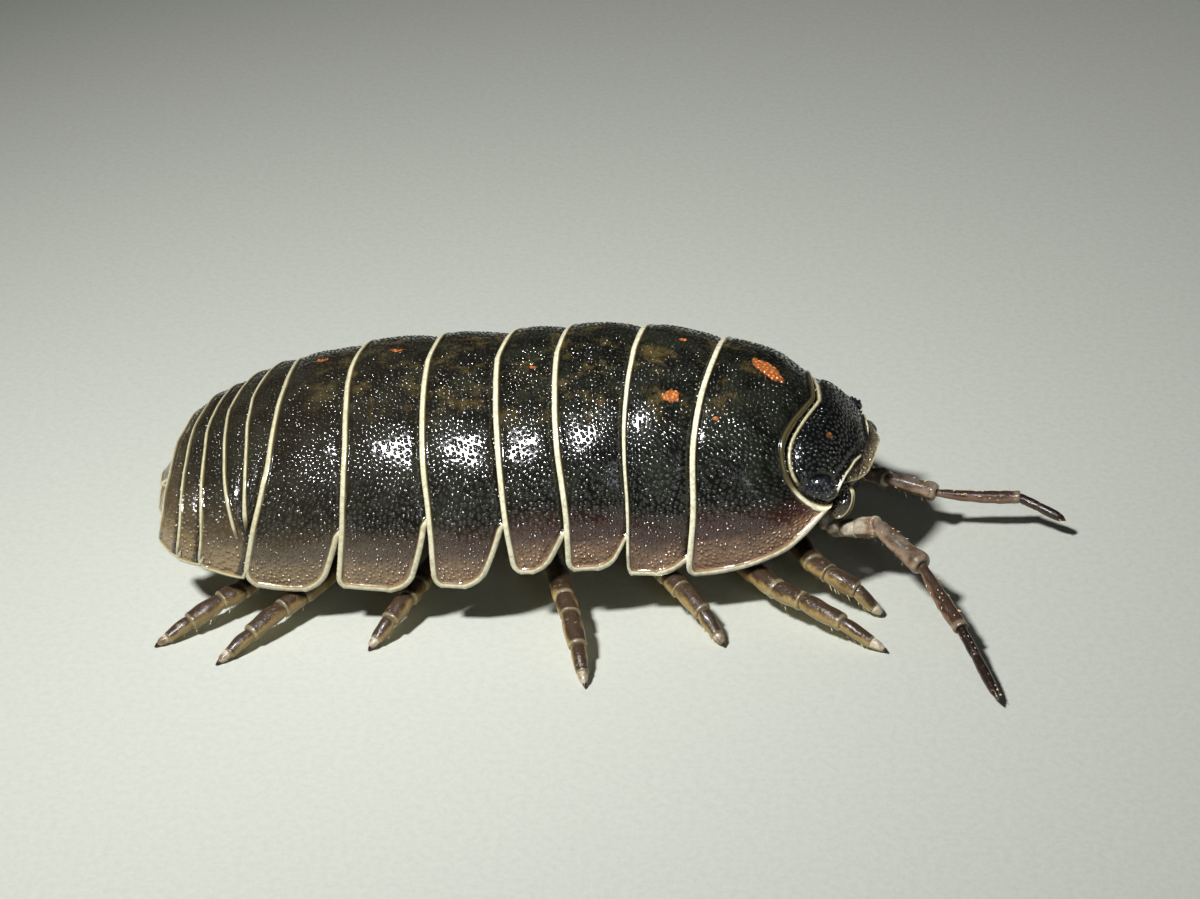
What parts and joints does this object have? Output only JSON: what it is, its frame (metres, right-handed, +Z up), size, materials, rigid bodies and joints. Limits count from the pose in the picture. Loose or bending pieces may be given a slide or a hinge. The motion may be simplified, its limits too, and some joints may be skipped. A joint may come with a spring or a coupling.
{
  "type": "woodlouse",
  "caption": "Life-size still pill woodlouse with domed overlapping shell plates, standing on all its legs with both feelers forward",
  "frame": {"origin": "middle of the bounding box, on the floor under the feet", "axes": "+X runs towards the head along the body, +Y to the animal's left, +Z up"},
  "size_m": [0.021, 0.0124, 0.0049],
  "materials": {
    "shell": "near-black slate, glossy, pale rims",
    "rear_shell": "near-black slate, glossy, pale rims",
    "head_shell": "near-black, glossy, fine grain",
    "eye": "black, bumpy with many small lenses",
    "feeler": "translucent brown with pale flecks",
    "lash": "dark brown, thinly haired",
    "leg": "brown above, pale and translucent below",
    "mouth": "pale tan",
    "gill": "off-white",
    "tail": "dark brown slate, glossy"
  },
  "bodies": {
    "root": {"head": "head_shell", "eye_left": "eye", "eye_right": "eye", "antenna_left_peduncle": "feeler", "antenna_left_flagellum": "lash", "antenna_right_peduncle": "feeler", "antenna_right_flagellum": "lash", "pereonite_1": "shell", "pereonite_2": "shell", "pereonite_3": "shell", "pereonite_4": "shell", "pereonite_5": "shell", "pereonite_6": "shell", "pereonite_7": "shell", "pleonite_1": "rear_shell", "pleonite_2": "rear_shell", "pleonite_3": "rear_shell", "pleonite_4": "rear_shell", "pleonite_5": "rear_shell", "telson": "tail", "uropod_left": "tail", "uropod_right": "tail", "leg_1_left": "leg", "leg_1_right": "leg", "leg_2_left": "leg", "leg_2_right": "leg", "leg_3_left": "leg", "leg_3_right": "leg", "leg_4_left": "leg", "leg_4_right": "leg", "leg_5_left": "leg", "leg_5_right": "leg", "leg_6_left": "leg", "leg_6_right": "leg", "leg_7_left": "leg", "leg_7_right": "leg", "mouthparts": "mouth", "pleopods_left": "gill", "pleopods_right": "gill"}
  },
  "joints": []
}
